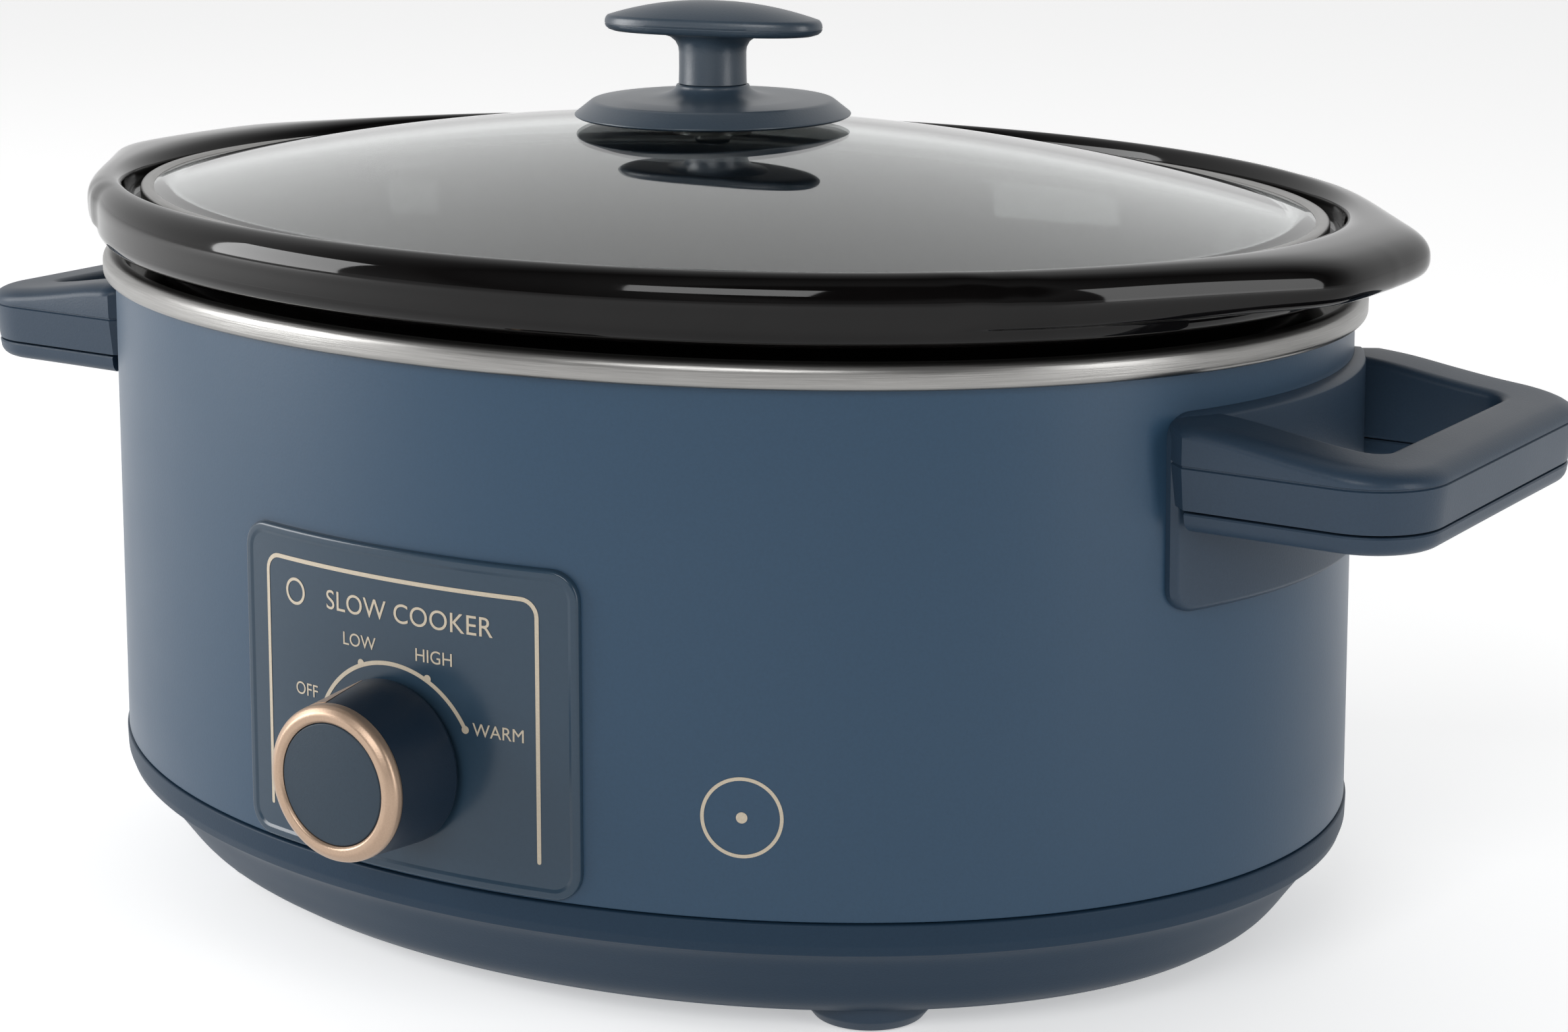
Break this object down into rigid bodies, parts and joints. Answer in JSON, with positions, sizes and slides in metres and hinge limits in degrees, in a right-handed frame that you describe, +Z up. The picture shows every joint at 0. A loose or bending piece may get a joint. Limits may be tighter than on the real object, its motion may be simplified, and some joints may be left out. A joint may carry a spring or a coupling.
{
  "type": "slow cooker",
  "caption": "Oval electric slow cooker: painted steel housing on a plastic base, lift-out glazed crock, domed glass lid with a bar knob, side handles and a rotary heat control.",
  "frame": {"origin": "middle of the object's box, on the surface that the foot pads rest on", "axes": "+Z up, X along the handles, -Y towards the control panel"},
  "size_m": [0.432, 0.2915, 0.2274],
  "materials": {
    "painted_blue": "satin paint, fine texture",
    "plastic_blue": "fine moulded texture",
    "gloss_blue": "semi gloss",
    "stainless": "brushed",
    "zinc": "zinc plated",
    "aluminium": "mill finish",
    "fibreglass": "woven fibreglass wrap",
    "brass": "plain",
    "plastic_white": "plain",
    "plastic_black": "plain",
    "rose_gold": "satin rose-gold anodised",
    "black_glaze": "glossy black glaze",
    "glass": "clear tempered glass",
    "rubber": "matt"
  },
  "bodies": {
    "base_unit": {"base_pan": "plastic_blue", "foot_front_left": "plastic_blue", "foot_front_right": "plastic_blue", "foot_rear_left": "plastic_blue", "foot_rear_right": "plastic_blue", "foot_pads": "rubber", "base_screws": "zinc", "heat_shield": "aluminium", "tie_strap": "zinc", "housing_shell": "painted_blue", "heating_well": "stainless", "heater_band": "aluminium", "heater_wrap": "fibreglass", "thermal_fuse": "brass", "fuse_clip": "zinc", "terminal_block": "plastic_white", "cable_gland": "plastic_black", "control_panel": "gloss_blue", "rotary_switch": "plastic_black", "switch_nut": "zinc", "handle_right_body": "plastic_blue", "handle_left_body": "plastic_blue", "handle_right_cover": "plastic_blue", "handle_left_cover": "plastic_blue", "handle_screws": "zinc"},
    "control_knob": {"switch_shaft": "zinc", "knob_body": "plastic_blue", "knob_pointer": "rose_gold", "knob_ring": "rose_gold", "knob_cap": "plastic_blue"},
    "crock_pot": {"crock": "black_glaze"},
    "lid": {"lid_glass": "glass", "lid_band": "stainless", "lid_knob_flange": "plastic_blue", "lid_knob_grip": "plastic_blue", "lid_knob_seal": "rubber", "lid_knob_grommet": "rubber", "lid_knob_washer": "zinc", "lid_knob_screw": "zinc"}
  },
  "joints": [
    {"name": "control_knob_turn", "type": "hinge", "parent": "base_unit", "child": "control_knob", "pos_m": [0.002, 0, 0.0638], "axis": [0, 1, 0], "range_deg": [-40, 84]},
    {"name": "crock_lift", "type": "slide", "parent": "base_unit", "child": "crock_pot", "axis": [0, 0, 1], "range_m": [0, 0.16]},
    {"name": "lid_lift", "type": "slide", "parent": "crock_pot", "child": "lid", "axis": [0, 0, 1], "range_m": [0, 0.1]}
  ]
}
